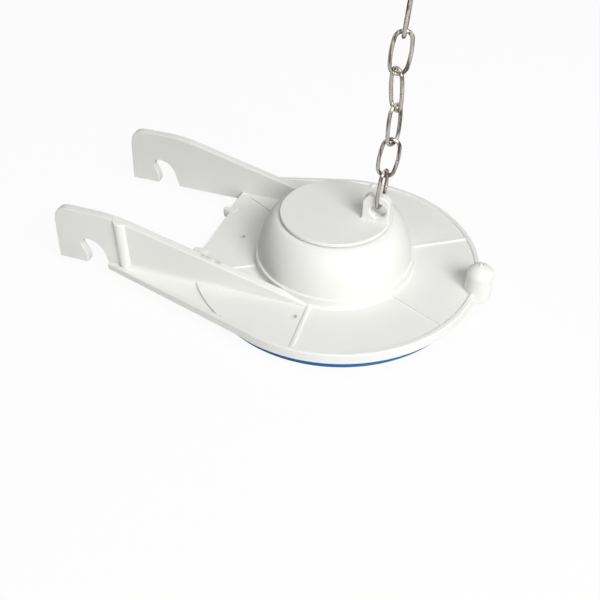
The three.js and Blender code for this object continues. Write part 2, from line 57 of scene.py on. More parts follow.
# Lengths are in millimetres and angles in degrees. The studio's lengths are in metres, unless the
# name ends in _mm.
WELD = 0.0015        # vertices closer than this are one
SPARE = 1.0          # how far a cutter reaches past what it cuts
SINK = 0.5           # how deep joined solids reach into each other
HAIR = 0.1           # the least allowance: on a plane, or just past a face
SEAT_GAP = 0.3       # between the moulding and its cap or seal
DISC_RADIUS = 38.0
PLATE_TOP = -0.4
PLATE_UNDER = -2.55
SEAL_ROOM = 36.3     # radius under the plate that is kept free for the seal
BELL_X = -0.9        # the bell's axis, a little behind the disc's centre
BELL_HEIGHT = 13.4

Point = tuple[float, float]
Point3 = tuple[float, float, float]
Solid = bmesh.types.BMesh
Edge = bmesh.types.BMEdge
Thing = bpy.types.Object
Tree = bpy.types.NodeTree
Node = bpy.types.Node
Socket = bpy.types.NodeSocket


class Plane(Enum):
    """The plane in which a flat outline is drawn; it is raised along the third axis."""

    PLAN = "xy"
    SIDE = "xz"
    FRONT = "yz"


class Slot(Enum):
    """Material slots of the record."""

    WHITE = "white_plastic"
    BLUE = "blue_rubber"
    STEEL = "steel_wire"


def arc(centre: Point, radius: float, start: float, end: float, steps: int) -> list[Point]:
    """Points along a circular arc.

    Args:
        centre: Centre of the circle.
        radius: Radius of the circle.
        start: First angle in degrees.
        end: Last angle in degrees.
        steps: Number of chords.

    Returns:
        The points, both ends included.
    """
    points = []
    for i in range(steps + 1):
        angle = math.radians(start + (end - start) * i / steps)
        points.append((centre[0] + radius * math.cos(angle), centre[1] + radius * math.sin(angle)))
    return points


def rounded(corner: Point, radius: float, steps: int, under: bool = False) -> list[Point]:
    """Points that round off an outer corner of a profile drawn anticlockwise.

    Args:
        corner: The sharp corner.
        radius: Radius of the rounding.
        steps: Number of chords.
        under: Whether it is a lower corner and not an upper one.

    Returns:
        The points, both ends included.
    """
    if under:
        return arc((corner[0] - radius, corner[1] + radius), radius, -90, 0, steps)
    return arc((corner[0] - radius, corner[1] - radius), radius, 0, 90, steps)


def bend(start: Point, pull: Point, end: Point, steps: int = 10) -> list[Point]:
    """Points along a curve that leaves start towards pull and arrives at end from pull.

    Args:
        start: First point.
        pull: Corner that the curve rounds off.
        end: Last point.
        steps: Number of chords.

    Returns:
        The points, both ends included.
    """
    points = []
    for i in range(steps + 1):
        t = i / steps
        a, b, c = (1 - t) ** 2, 2 * t * (1 - t), t * t
        points.append((a * start[0] + b * pull[0] + c * end[0], a * start[1] + b * pull[1] + c * end[1]))
    return points


def revolved(profile: list[Point], x: float = 0.0, y: float = 0.0, steps: int = 144) -> Solid:
    """A solid of revolution about the vertical line through (x, y).

    Args:
        profile: Pairs of radius and height. It starts and ends on the axis, or is closed as a ring.
        x: Place of the axis along X.
        y: Place of the axis along Y.
        steps: Number of facets around.

    Returns:
        The closed solid.
    """
    bm = bmesh.new()
    verts = [bm.verts.new((x + r, y, z)) for r, z in profile]
    edges = [bm.edges.new(pair) for pair in zip(verts, verts[1:])]
    if profile[0][0] > WELD or profile[-1][0] > WELD:
        edges.append(bm.edges.new((verts[-1], verts[0])))
    bmesh.ops.spin(bm, geom=verts + edges, cent=(x, y, 0), axis=(0, 0, 1), dvec=(0, 0, 0),
                   angle=math.tau, steps=steps, use_merge=True, use_normal_flip=False, use_duplicate=False)
    return closed(bm)


def drum(radius: float, low: float, high: float, x: float = 0.0, y: float = 0.0, steps: int = 144) -> Solid:
    """An upright cylinder between two heights, with its axis at (x, y)."""
    return revolved([(0, low), (radius, low), (radius, high), (0, high)], x, y, steps)


def prism(outline: list[Point], plane: Plane, low: float, high: float) -> Solid:
    """A flat outline raised into a solid.

    Args:
        outline: Corners in the plane.
        plane: The plane of the outline.
        low: Where the solid starts along the third axis.
        high: Where it ends.

    Returns:
        The closed solid.
    """
    bm = bmesh.new()
    place: dict[Plane, Callable[[float, float, float], Point3]] = {
        Plane.PLAN: lambda a, b, c: (a, b, c),
        Plane.SIDE: lambda a, b, c: (a, c, b),
        Plane.FRONT: lambda a, b, c: (c, a, b),
    }
    face = bm.faces.new([bm.verts.new(place[plane](a, b, low)) for a, b in outline])
    raised = bmesh.ops.extrude_face_region(bm, geom=[face])["geom"]
    rise = Vector(place[plane](0, 0, high - low))
    bmesh.ops.translate(bm, verts=[v for v in raised if isinstance(v, bmesh.types.BMVert)], vec=rise)
    return closed(bm)


def bar(x: Point, y: Point, z: Point) -> Solid:
    """A block between two values along each axis."""
    return prism([(x[0], y[0]), (x[1], y[0]), (x[1], y[1]), (x[0], y[1])], Plane.PLAN, *z)


def closed(bm: Solid) -> Solid:
    """Merges doubles and points the faces outwards.

    Args:
        bm: The solid.

    Returns:
        The same mesh.
    """
    bmesh.ops.remove_doubles(bm, verts=bm.verts, dist=WELD)
    bmesh.ops.dissolve_degenerate(bm, edges=bm.edges, dist=WELD)
    bmesh.ops.recalc_face_normals(bm, faces=bm.faces)
    return bm


def softened(bm: Solid, width: float, steps: int = 3, sharper: float = 40.0,
             where: Callable[[Edge], bool] | None = None) -> Solid:
    """Rounds the sharp edges of a solid, as a mould's small radii do.

    Args:
        bm: The solid.
        width: Width of the rounding.
        steps: Number of facets across it.
        sharper: Only edges that turn more than this, in degrees, are rounded.
        where: Further test that an edge has to pass.

    Returns:
        The same mesh.
    """
    limit = math.radians(sharper)
    edges = [e for e in bm.edges
             if e.is_manifold and e.calc_face_angle(0.0) > limit and (not where or where(e))]
    bmesh.ops.bevel(bm, geom=edges, offset=width, offset_type="OFFSET", segments=steps, profile=0.5,
                    affect="EDGES", clamp_overlap=True, material=-1)
    return bm


def beside_flat(edge: Edge) -> bool:
    """Whether the edge borders a face that looks along Y."""
    return any(abs(face.normal.y) > 0.99 for face in edge.link_faces)


def cut_away(bm: Solid, point: Point3, normal: Point3) -> Solid:
    """Removes what lies beyond a plane and closes the cut.

    Args:
        bm: The solid.
        point: A point on the plane.
        normal: Direction of the side that goes.

    Returns:
        The same mesh.
    """
    everything = bm.verts[:] + bm.edges[:] + bm.faces[:]
    result = bmesh.ops.bisect_plane(bm, geom=everything, plane_co=point, plane_no=normal, clear_outer=True)
    rim = [e for e in result["geom_cut"] if isinstance(e, Edge)]
    bmesh.ops.contextual_create(bm, geom=rim)
    return closed(bm)


def linked(name: str, data: bpy.types.ID) -> Thing:
    """Puts an object into the scene.

    Args:
        name: Name of the object.
        data: The mesh, curve, lamp or camera that it holds.

    Returns:
        The new object.
    """
    made = bpy.data.objects.new(name, data)
    bpy.context.scene.collection.objects.link(made)
    return made


def as_object(name: str, bm: Solid) -> Thing:
    """Turns a mesh in the making into an object.

    Args:
        name: Name of the object.
        bm: Its mesh, which is freed.

    Returns:
        The new object.
    """
    mesh = bpy.data.meshes.new(name)
    bm.to_mesh(mesh)
    bm.free()
    return linked(name, mesh)


def combined(added: list[Solid], removed: list[Solid]) -> Solid:
    """Joins solids into one skin and takes others away from it.

    Args:
        added: Solids to join.
        removed: Solids to take away.

    Returns:
        The joined solid.
    """
    parts = [as_object("part", bm) for bm in added + removed]
    base = parts[0]
    for index, part in enumerate(parts[1:], start=1):
        step = base.modifiers.new("step", "BOOLEAN")
        step.object = part
        step.solver = "EXACT"
        step.operation = "UNION" if index < len(added) else "DIFFERENCE"
    bpy.context.view_layer.update()
    result = bmesh.new()
    result.from_object(base, bpy.context.evaluated_depsgraph_get())
    for part in parts:
        mesh = part.data
        bpy.data.objects.remove(part)
        bpy.data.meshes.remove(mesh)
    bmesh.ops.remove_doubles(result, verts=result.verts, dist=WELD)
    return result


def to_linear(colour: str) -> tuple[float, float, float, float]:
    """Linear colour from an sRGB hex value."""
    values = [int(colour[i:i + 2], 16) / 255 for i in (1, 3, 5)]
    return (*[v / 12.92 if v <= 0.04045 else ((v + 0.055) / 1.055) ** 2.4 for v in values], 1.0)


def add_node(tree: Tree, kind: str, inputs: dict[Any, Any] | None = None,
             **settings: Any) -> Node:
    """Adds a shader node with its settings, values and links.

    Args:
        tree: The node tree.
        kind: Type name of the node.
        inputs: Value or linked socket for each input, by name or number.
        **settings: Properties of the node.

    Returns:
        The new node.
    """
    node = tree.nodes.new(kind)
    for key, value in settings.items():
        setattr(node, key, value)
    for key, value in (inputs or {}).items():
        if isinstance(value, Socket):
            tree.links.new(value, node.inputs[key])
        else:
            node.inputs[key].default_value = value
    return node


def per_metre(size_mm: float) -> float:
    """Scale of a pattern whose features have a size in millimetres."""
    return 1.0 / (size_mm * MM)


def emptied_tree(holder: bpy.types.Material | bpy.types.World) -> Tree:
    """Switches on the nodes of a material or world.

    Args:
        holder: The material or world.

    Returns:
        Its node tree, with nothing in it.
    """
    holder.use_nodes = True
    holder.node_tree.nodes.clear()
    return holder.node_tree


@dataclass(frozen=True)
class Finish:
    """What every finish has: a name and the material that it builds once."""

    name: str

    def build(self) -> bpy.types.Material:
        """Makes the finish's material on first use.

        Returns:
            The material.
        """
        made = bpy.data.materials.get(self.name)
        if made is None:
            made = bpy.data.materials.new(self.name)
            tree = emptied_tree(made)
            shader = self.shade(tree)
            add_node(tree, "ShaderNodeOutputMaterial", {"Surface": shader.outputs[0]})
        return made

    def shade(self, tree: Tree) -> Node:
        """Builds the nodes.

        Args:
            tree: The material's node tree.

        Returns:
            The shader.
        """
        raise NotImplementedError


@dataclass(frozen=True)
class MouldedWhite(Finish):
    """Injection-moulded polypropylene: a soft satin white, a little grey where the flow varied."""

    light: str = "#EFEFEC"
    dull: str = "#E6E7E2"
    roughness: float = 0.42
    uneven: float = 0.05
    ior: float = 1.49
    flow_mm: float = 14.0
    grain_mm: float = 0.45
    grain_depth_mm: float = 0.006
    grain_strength: float = 0.5

    def shade(self, tree: Tree) -> Node:
        """Builds the nodes.

        Args:
            tree: The material's node tree.

        Returns:
            The shader.
        """
        where = add_node(tree, "ShaderNodeTexCoord").outputs["Object"]
        flow = add_node(tree, "ShaderNodeTexNoise",
                        {"Vector": where, "Scale": per_metre(self.flow_mm), "Detail": 3.0})
        colour = add_node(tree, "ShaderNodeMix", {
            "Factor": flow.outputs["Fac"], 6: to_linear(self.light), 7: to_linear(self.dull),
        }, data_type="RGBA")
        grain = add_node(tree, "ShaderNodeTexNoise",
                         {"Vector": where, "Scale": per_metre(self.grain_mm), "Detail": 2.0})
        rough = add_node(tree, "ShaderNodeMapRange", {
            "Value": grain.outputs["Fac"],
            "To Min": self.roughness - self.uneven, "To Max": self.roughness + self.uneven,
        })
        relief = add_node(tree, "ShaderNodeBump", {
            "Height": grain.outputs["Fac"], "Strength": self.grain_strength,
            "Distance": self.grain_depth_mm * MM,
        })
        return add_node(tree, "ShaderNodeBsdfPrincipled", {
            "Base Color": self.tinted(tree, where, colour.outputs[2]), "Roughness": rough.outputs["Result"],
            "Normal": relief.outputs["Normal"], "IOR": self.ior,
        })

    def tinted(self, tree: Tree, where: Socket, colour: Socket) -> Socket:
        """Place for a finish that lays something over the colour; this one lays nothing."""
        return colour


@dataclass(frozen=True)
class StainedWhite(MouldedWhite):
    """The same plastic with three small brownish marks on the near arm's top edge."""

    stain: str = "#B9AE86"
    places: tuple[Point3, ...] = ()
    spread_mm: float = 1.5
    core_mm: float = 0.2
    patch_mm: float = 1.2

    def tinted(self, tree: Tree, where: Socket, colour: Socket) -> Socket:
        """Lays a faint mark around each place.

        Args:
            tree: The material's node tree.
            where: Place on the object, in metres.
            colour: The plastic's colour.

        Returns:
            The colour with the marks.
        """
        patch = add_node(tree, "ShaderNodeTexNoise",
                         {"Vector": where, "Scale": per_metre(self.patch_mm), "Detail": 3.0})
        for place in self.places:
            away = add_node(tree, "ShaderNodeVectorMath", {0: where, 1: place}, operation="DISTANCE")
            near = add_node(tree, "ShaderNodeMapRange", {
                "Value": away.outputs["Value"], "From Min": self.spread_mm * MM,
                "From Max": self.core_mm * MM,
            }, interpolation_type="SMOOTHSTEP")
            mask = add_node(tree, "ShaderNodeMath", {0: near.outputs["Result"], 1: patch.outputs["Fac"]},
                            operation="MULTIPLY")
            mixed = add_node(tree, "ShaderNodeMix", {
                "Factor": mask.outputs[0], 6: colour, 7: to_linear(self.stain),
            }, data_type="RGBA")
            colour = mixed.outputs[2]
        return colour


@dataclass(frozen=True)
class MouldedSilicone(Finish):
    """Compression-moulded silicone: an even deep blue with a dull, slightly powdery face."""

    deep: str = "#1E5E98"
    pale: str = "#296EA9"
    roughness: float = 0.55
    ior: float = 1.41
    bloom_mm: float = 5.0
    grain_mm: float = 0.3
    grain_depth_mm: float = 0.01
    grain_strength: float = 0.4

    def shade(self, tree: Tree) -> Node:
        """Builds the nodes.

        Args:
            tree: The material's node tree.

        Returns:
            The shader.
        """
        where = add_node(tree, "ShaderNodeTexCoord").outputs["Object"]
        bloom = add_node(tree, "ShaderNodeTexNoise",
                         {"Vector": where, "Scale": per_metre(self.bloom_mm), "Detail": 4.0})
        colour = add_node(tree, "ShaderNodeMix", {
            "Factor": bloom.outputs["Fac"], 6: to_linear(self.deep), 7: to_linear(self.pale),
        }, data_type="RGBA")
        grain = add_node(tree, "ShaderNodeTexNoise",
                         {"Vector": where, "Scale": per_metre(self.grain_mm), "Detail": 2.0})
        relief = add_node(tree, "ShaderNodeBump", {
            "Height": grain.outputs["Fac"], "Strength": self.grain_strength,
            "Distance": self.grain_depth_mm * MM,
        })
        return add_node(tree, "ShaderNodeBsdfPrincipled", {
            "Base Color": colour.outputs[2], "Roughness": self.roughness, "IOR": self.ior,
            "Normal": relief.outputs["Normal"],
        })


@dataclass(frozen=True)
class DrawnSteel(Finish):
    """Drawn stainless wire: bright, with painted reflections as dark and light streaks along its length in
    the base colour.
    """

    bright: str = "#C4BFB7"
    painted_reflection_dark: str = "#4B443D"
    painted_reflection_mm: float = 0.7
    painted_reflection_stretch: float = 0.1
    painted_reflection_low: float = 0.43
    painted_reflection_high: float = 0.60
    painted_reflection_darkest: float = 0.9
    smooth: float = 0.14
    rough: float = 0.32
    line_mm: float = 0.25
    line_depth_mm: float = 0.008
    line_strength: float = 0.3

    def shade(self, tree: Tree) -> Node:
        """Builds the nodes.

        Args:
            tree: The material's node tree.

        Returns:
            The shader.
        """
        where = add_node(tree, "ShaderNodeTexCoord").outputs["Object"]
        along = add_node(tree, "ShaderNodeMapping",
                         {"Vector": where, "Scale": (1.0, 1.0, self.painted_reflection_stretch)})
        # Painted reflection: this noise runs along the wire and darkens the base colour in streaks that stand
        # in for dark surroundings mirrored in the metal. The same noise also varies the roughness.
        painted_reflection_and_roughness = add_node(tree, "ShaderNodeTexNoise", {
            "Vector": along.outputs["Vector"], "Scale": per_metre(self.painted_reflection_mm),
            "Detail": 3.0, "Roughness": 0.5,
        })
        share = add_node(tree, "ShaderNodeMapRange", {
            "Value": painted_reflection_and_roughness.outputs["Fac"],
            "From Min": self.painted_reflection_low, "From Max": self.painted_reflection_high, "To Max": self.painted_reflection_darkest,
        }, interpolation_type="SMOOTHSTEP")
        # Painted reflection: the streaks mix the bright metal towards the dark colour.
        colour = add_node(tree, "ShaderNodeMix", {
            "Factor": share.outputs["Result"], 6: to_linear(self.bright), 7: to_linear(self.painted_reflection_dark),
        }, data_type="RGBA")
        rough = add_node(tree, "ShaderNodeMapRange", {
            "Value": painted_reflection_and_roughness.outputs["Fac"], "To Min": self.smooth, "To Max": self.rough,
        })
        lines = add_node(tree, "ShaderNodeTexNoise",
                         {"Vector": along.outputs["Vector"], "Scale": per_metre(self.line_mm), "Detail": 2.0})
        relief = add_node(tree, "ShaderNodeBump", {
            "Height": lines.outputs["Fac"], "Strength": self.line_strength,
            "Distance": self.line_depth_mm * MM,
        })
        return add_node(tree, "ShaderNodeBsdfPrincipled", {
            "Base Color": colour.outputs[2], "Metallic": 1.0, "Roughness": rough.outputs["Result"],
            "Normal": relief.outputs["Normal"],
        })


WHITE = MouldedWhite("moulded_polypropylene_white")
BLUE = MouldedSilicone("moulded_silicone_blue")
STEEL = DrawnSteel("drawn_stainless_wire")


@dataclass(frozen=True)
class Home:
    """Where the top centre of the disc's rim lies in the frame, and the way there."""

    depth_mm: float = -PLATE_UNDER

    @property
    def centre(self) -> Vector:
        """The rim's centre at its top, in metres."""
        low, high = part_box("seal")
        up = high[2] + (SEAT_GAP + self.depth_mm) * MM
        return Vector(((low[0] + high[0]) / 2, (low[1] + high[1]) / 2, up))

    @property
    def matrix(self) -> Matrix:
        """From millimetres about the rim's centre to metres in the frame."""
        return Matrix.Translation(self.centre) @ Matrix.Scale(MM, 4)

    def point(self, x: float, y: float, z: float) -> Point3:
        """A place in millimetres about the rim's centre, in metres in the frame."""
        return tuple(self.matrix @ Vector((x, y, z)))


HOME = Home()


def placed(name: str, bm: Solid, finish: Finish, body: str, node: str,
           crease: float = 32.0) -> Thing:
    """Makes a finished piece of a mesh in millimetres and sets it in the frame.

    Args:
        name: Name of the piece.
        bm: Its mesh, in millimetres about the rim's centre.
        finish: Its finish.
        body: Body that it rides on.
        node: CAD node that it stands for.
        crease: Edges that turn more than this, in degrees, stay sharp.

    Returns:
        The piece.
    """
    bm.transform(HOME.matrix)
    piece = as_object(name, bm)
    mesh = piece.data
    for polygon in mesh.polygons:
        polygon.use_smooth = True
    mesh.set_sharp_from_angle(angle=math.radians(crease))
    weigh = piece.modifiers.new("even_shading", "WEIGHTED_NORMAL")
    weigh.keep_sharp = True
    mesh.materials.append(finish.build())
    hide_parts(node)
    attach(piece, body)
    log.info("%s: %d faces on %s", name, len(mesh.polygons), body)
    return piece


@dataclass
class Bell:
    """The hollow bell in the middle of the frame."""

    x: float = BELL_X
    foot: float = 20.7
    top: float = 14.7
    height: float = BELL_HEIGHT
    roundness: float = 1.84
    wall: float = 1.6
    plate_top: float = PLATE_TOP
    step: float = 0.55
    step_height: float = 2.2
    step_round: float = 0.3
    flare: float = 0.75
    flare_height: float = 0.8
    neck: float = 12.2
    neck_wall: float = 1.7
    mouth: float = -7.0

    def curve(self, start: float, end: float, inset: float, steps: int) -> list[Point]:
        """Profile of the wall between two heights, closer together where it turns inwards.

        Args:
            start: Lower height.
            end: Upper height.
            inset: How far inside the outer face.
            steps: Number of chords.

        Returns:
            Pairs of radius and height.
        """
        points = []
        for i in range(steps + 1):
            z = start + (end - start) * math.sin(i / steps * math.pi / 2)
            u = min(1.0, max(0.0, (z - self.plate_top) / (self.height - inset - self.plate_top)))
            reach = (1 - u ** self.roundness) ** (1 / self.roundness)
            points.append((self.top - inset + (self.foot - self.top) * reach, z))
        return points

    def outside(self) -> Solid:
        """The bell's outer form, solid, with the step and flare at its foot."""
        edge = self.foot + self.step
        low = self.plate_top - SINK
        flare = arc((edge + self.flare, self.plate_top + self.flare_height), self.flare, 270, 180, 6)
        lip = rounded((edge, self.step_height), self.step_round, 4)
        return revolved([
            (0, low), (edge + self.flare, low), *flare, *lip,
            *self.curve(self.step_height, self.height, 0, 22), (0, self.height),
        ], self.x)

    def inside(self) -> Solid:
        """The air space in the bell, with the neck that the cap closes."""
        roof = self.height - self.neck_wall
        return revolved([
            (0, self.mouth), (self.foot - self.wall, self.mouth),
            *self.curve(self.plate_top, roof, self.wall, 14),
            (self.neck, roof), (self.neck, self.height + SPARE), (0, self.height + SPARE),
        ], self.x)


@dataclass
class Disc:
    """The round plate with its rim, ribs, hub, moulding marks and the plate between the arms."""

    radius: float = DISC_RADIUS
    rim: float = 1.3
    rim_slope: float = 0.15
    crown: float = 0.4
    skirt: float = 0.5
    skirt_round: float = 0.3
    skirt_bore: float = SEAL_ROOM
    plate_top: float = PLATE_TOP
    bottom: float = PLATE_UNDER
    rear: float = 35.8
    rear_round: float = 0.2
    notch: float = 10.3
    notch_depth: float = 0.6
    collar_x: float = BELL_X
    collar_end: float = -20.5
    collar_round: float = 0.2
    hub: float = 24.0
    hub_bottom: float = -5.95
    bead: float = 1.2
    bead_height: float = 0.9
    bead_flat: float = 0.5
    bead_middle: float = 0.4
    bead_round: float = 0.35
    ribs: int = 6
    rib_width: float = 0.8
    rib_height: float = 0.4
    rib_round: float = 0.15
    rib_into_rim: float = 0.4
    rib_from_rear: float = 0.6
    rib_leans: tuple[float, ...] = (3.2, 0.0, 0.0, 0.0, 3.2, 5.0)
    rib_pivot: float = 16.0
    marks: tuple[Point, ...] = ((-27.65, -0.25), (-2.9, -26.3))
    mark_radius: float = 0.75
    mark_depth: float = 1.6

    def plate(self, side: float, rim_end: float) -> Solid:
        """The plate with its rim and the skirt under it, cut straight at the back.

        Args:
            side: How far the inner face of each arm lies from the middle.
            rim_end: Place along X behind which there is no rim, because the ledges' lips take over.

        Returns:
            The solid.
        """
        r = self.radius
        foot = self.bottom - self.skirt
        edge = rounded((r, foot), self.skirt_round, 3, under=True)
        crown = rounded((r, 0), self.crown, 6)
        body = revolved([
            (0, self.bottom), (self.skirt_bore, self.bottom), (self.skirt_bore, foot), *edge, *crown,
            (r - self.rim + self.rim_slope, 0), (r - self.rim - self.rim_slope, self.plate_top),
            (0, self.plate_top),
        ])
        collar = revolved([(0, self.bottom), (r, self.bottom),
                           *rounded((r, self.plate_top), self.collar_round, 3), (0, self.plate_top)],
                          self.collar_x)
        cut_away(collar, (self.collar_end, 0, 0), (1, 0, 0))
        past = r + 3 * SPARE
        behind = bar((-past, -self.rear), (-side, side), (self.bottom - SPARE, SPARE))
        open_rim = bar((-past, rim_end), (-past, past), (self.plate_top, SPARE))
        return combined([body, collar], [behind, open_rim])

    def rear_plate(self, side: float) -> Solid:
        """The plate between the arms, with a shoulder at each side of its rear edge.

        Args:
            side: How far its long edges lie from the middle.

        Returns:
            The solid.
        """
        far = self.rear + self.notch_depth
        half = [(-far, side), (-far, self.notch + self.notch_depth), (-self.rear, self.notch)]
        outline = [(-self.rear / 2, -side), (-self.rear / 2, side), *half]
        outline += [(x, -y) for x, y in reversed(half)]
        plate = prism(outline, Plane.PLAN, self.bottom, self.plate_top)
        edge = -self.rear + HAIR
        return softened(plate, self.rear_round, where=lambda e: all(v.co.x < edge for v in e.verts))

    def rib(self, index: int, x: float, start: float) -> Solid:
        """One low rib from the bell's foot to the rim.

        Args:
            index: Which of the ribs.
            x: Centre of the bell.
            start: Radius where it starts.

        Returns:
            The solid.
        """
        angle = math.tau * (index + 0.5) / self.ribs
        half = self.rib_width / 2
        along, across = x * math.cos(angle), x * math.sin(angle)
        reach = math.sqrt((self.radius - self.rim) ** 2 - across ** 2) - along + self.rib_into_rim
        runs_back = math.cos(angle) < -0.5
        if runs_back:
            reach = min(reach, (self.rear - self.rib_from_rear + x) / -math.cos(angle))
        body = bar((start, reach), (-half, half), (self.plate_top - SINK, self.plate_top + self.rib_height))
        softened(body, self.rib_round, 2, where=lambda e: all(v.co.z > self.plate_top for v in e.verts))
        pivot = Vector((self.rib_pivot, 0, 0))
        lean = Matrix.Translation(pivot) @ Matrix.Rotation(math.radians(self.rib_leans[index]), 4, "Z")
        lean = lean @ Matrix.Translation(-pivot)
        body.transform(Matrix.Translation((x, 0, 0)) @ Matrix.Rotation(angle, 4, "Z") @ lean)
        return body

    def hub_ring(self) -> Solid:
        """The hub and its bead under the plate."""
        bead = self.hub + self.bead
        low = self.hub_bottom
        high = self.bottom + SINK
        return revolved([
            (0, low), (bead - self.bead_flat, low),
            *arc((bead - self.bead_round, low + self.bead_middle), self.bead_round, -60, 60, 5),
            (self.hub, low + self.bead_height), (self.hub, high), (0, high),
        ])

    def sunk_marks(self) -> list[Solid]:
        """Cutters for the small round moulding marks."""
        low = self.plate_top - self.mark_depth
        return [drum(self.mark_radius, low, SPARE, x, y, 20) for x, y in self.marks]


@dataclass
class Arms:
    """The two arms with their hooks, pillars, ledges and blends.

    A side is 1 for the +Y arm, which is the far one, and -1 for the -Y arm, the near one.
    """

    inner: float = 19.9
    thickness: float = 2.2
    bottom: float = -3.05
    top: float = 13.8
    reach: float = 73.0
    end: float = -1.6
    slope: float = 0.262
    hook: float = 19.2
    draft: float = 1.2
    crest_front: float = 3.0
    crest_rear: float = 5.0
    crest_drop: float = 0.3
    crest_pull: float = 0.2
    corner: float = 4.2
    corner_stretch: float = 1.2
    corner_lean: float = 0.4
    slot_centre: float = 12.3
    slot_mouth: float = 7.0
    slot_height: float = 8.1
    nose: tuple[Point, Point, Point] = ((-0.3, 0.0), (0.9, 1.6), (-0.2, 3.8))
    pocket: tuple[Point, Point, Point] = ((-1.1, -2.6), (-1.3, 0.0), (1.6, 0.0))
    back_pull: Point = (-1.6, -0.6)
    back_end: Point = (-0.9, 3.4)
    ramp: float = 2.2
    ramp_turn: float = 28.0
    ramp_x: float = 0.6
    ramp_out: float = 0.75
    ramp_top: float = 2.6
    pillar_behind: float = 8.2
    pillar: float = 1.9
    pillar_round: float = 0.4
    pillar_root: float = 0.4
    proud: float = 1.1
    near_pillar_drop: float = 0.35
    far_pillar_drop: float = 1.3
    ledge: float = 1.35
    ledge_start: float = 1.3
    ledge_round: float = 0.25
    lip: float = 0.5
    lip_width: float = 1.3
    lip_round: float = 0.3
    lip_square: float = 5.0
    blend_end: float = 20.5
    blend: float = 1.7
    blend_root: float = 0.4
    blend_sink: float = 0.3
    seal_room: float = SEAL_ROOM
    plate_bottom: float = PLATE_UNDER
    rim_radius: float = DISC_RADIUS
    edge: float = 0.3

    @property
    def outer(self) -> float:
        """Outer face of the web."""
        return self.inner + self.thickness

    @property
    def slot_x(self) -> float:
        """Middle of the slot's mouth."""
        return -self.reach + self.slot_centre

    def outline(self) -> list[Point]:
        """Side outline of an arm, with the slot's edge in it.

        The nose's points are measured from the slot's rear bottom corner, the pocket's from its rear top
        corner, and those of its back from the front corners.

        Returns:
            The corners, from the arm's tip along its lower edge and back along the upper one.
        """
        crest = -self.reach + self.hook
        left = self.slot_x - self.slot_mouth / 2
        right = self.slot_x + self.slot_mouth / 2
        low = self.bottom
        roof = low + self.slot_height
        corner = -self.reach + self.draft
        nose = bend(*[(left + x, low + z) for x, z in self.nose], 8)
        pocket = bend(*[(left + x, roof + z) for x, z in self.pocket], 10)
        back = bend(pocket[-1], (right + self.back_pull[0], roof + self.back_pull[1]),
                    (right + self.back_end[0], low + self.back_end[1]), 12)
        crown = bend((crest + self.crest_front, self.top - self.slope * self.crest_front - self.crest_drop),
                     (crest, self.top - self.crest_pull), (crest - self.crest_rear, self.top), 8)
        tip = bend((corner + self.corner, self.top), (corner, self.top),
                   (corner - self.corner_lean, self.top - self.corner * self.corner_stretch))
        return [
            (-self.reach, low), *nose, *pocket, *back[1:], (right, low), (self.end, low),
            (self.end, self.top - self.slope * (self.end - crest)), *crown, *tip,
        ]

    def web(self, side: int) -> Solid:
        """The upright web with its hook."""
        body = prism(self.outline(), Plane.SIDE, *sorted((side * self.inner, side * self.outer)))
        return softened(body, self.edge, 3, where=beside_flat)

    def column(self, side: int) -> Solid:
        """The round pillar on the web's outer face, with its top cut to the arm's slope.

        Args:
            side: Which arm.

        Returns:
            The solid.
        """
        x = self.slot_x + self.pillar_behind
        y = side * (self.outer + self.proud - self.pillar)
        body = drum(self.pillar, self.bottom, self.top + 2 * SPARE, x, y, 40)
        drop = self.near_pillar_drop if side < 0 else self.far_pillar_drop
        level = self.top - self.slope * (x - (-self.reach + self.hook)) - drop
        cut_away(body, (x, y, level), (self.slope, 0, 1))
        below = level - 2 * SPARE
        softened(body, self.pillar_round, 3, where=lambda e: all(v.co.z > below for v in e.verts))
        return cut_away(body, (x, side * (self.inner + self.pillar_root), 0), (0, -side, 0))

    def ledge_line(self) -> tuple[Vector, Vector]:
        """Outer edge of the +Y ledge, which meets the round of the disc as a tangent.

        Returns:
            Its start beside the slot, and the place where it meets the disc.
        """
        start = Vector((self.slot_x + self.slot_mouth / 2, self.outer + self.ledge_start))
        square = start.length_squared
        along = self.rim_radius ** 2 / square
        across = self.rim_radius * math.sqrt(square - self.rim_radius ** 2) / square
        return start, Vector((along * start.x + across * start.y, along * start.y - across * start.x))

    def shelf(self, side: int) -> Solid:
        """The ledge that widens from the slot to the disc.

        Args:
            side: Which arm.

        Returns:
            The solid.
        """
        start, meet = self.ledge_line()
        root = side * (self.outer - SINK)
        outline = [(start.x, root), (start.x, side * start.y), (meet.x, side * meet.y), (meet.x, root)]
        body = prism(outline, Plane.PLAN, self.plate_bottom, self.plate_bottom + self.ledge)
        return softened(body, self.ledge_round, 3,
                        where=lambda e: all(abs(v.co.y) > self.outer for v in e.verts)
                        and any(v.co.x < start.x + SPARE for v in e.verts))

    def edge_lip(self, side: int) -> Solid:
        """The low lip on a ledge's outer edge, which rises to the rim of the disc.

        Args:
            side: Which arm.

        Returns:
            The solid.
        """
        start, meet = self.ledge_line()
        along = (meet - start).normalized()
        inwards = Vector((along.y, -along.x)) * self.lip_width
        outline = [(p.x, side * p.y) for p in (start, start + inwards, meet + inwards, meet)]
        body = prism(outline, Plane.PLAN, self.plate_bottom, 0.0)
        for vert in body.verts:
            if vert.co.z > self.plate_bottom + HAIR and vert.co.x < (start.x + meet.x) / 2:
                vert.co.z = self.plate_bottom + self.ledge + self.lip
        square = meet.x - self.lip_square
        return softened(body, self.lip_round, 4, where=lambda e: any(v.co.x < square for v in e.verts))

